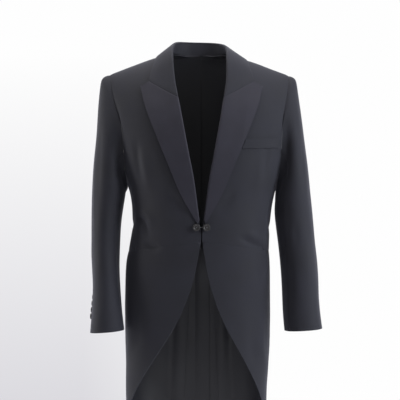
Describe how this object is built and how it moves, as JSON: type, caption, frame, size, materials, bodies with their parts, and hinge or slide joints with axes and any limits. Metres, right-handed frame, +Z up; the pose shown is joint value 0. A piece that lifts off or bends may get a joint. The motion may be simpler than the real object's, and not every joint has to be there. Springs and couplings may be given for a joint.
{
  "type": "morning coat",
  "caption": "Black worsted morning coat, worn form: peak lapels, linked front buttons, cutaway skirts, tails with a centre vent.",
  "frame": {"origin": "middle of the neck, inside the collar, where the wearer's neck and shoulders hold the coat", "axes": "+Z up along the wearer's height, -Y the way the wearer faces, +X towards the wearer's left"},
  "size_m": [0.5564, 0.2509, 1.0439],
  "materials": {
    "worsted": "fine black worsted wool",
    "facing": "the same worsted, pressed on the lapels",
    "horn": "polished black horn",
    "thread": "wound black thread"
  },
  "bodies": {
    "root": {"forepart_right": "worsted", "lapel_right": "facing", "sidebody_right": "worsted", "back_right": "worsted", "skirt_right": "worsted", "topsleeve_right": "worsted", "undersleeve_right": "worsted", "forepart_left": "worsted", "lapel_left": "facing", "sidebody_left": "worsted", "back_left": "worsted", "skirt_left": "worsted", "topsleeve_left": "worsted", "undersleeve_left": "worsted", "collar_fall": "worsted", "collar_stand": "worsted", "breast_welt": "worsted", "front_button_right": "horn", "back_button_right": "horn", "cuff_button_right_1": "horn", "cuff_button_right_2": "horn", "cuff_button_right_3": "horn", "cuff_button_right_4": "horn", "front_button_left": "horn", "back_button_left": "horn", "cuff_button_left_1": "horn", "cuff_button_left_2": "horn", "cuff_button_left_3": "horn", "cuff_button_left_4": "horn", "front_link": "thread"}
  },
  "joints": []
}
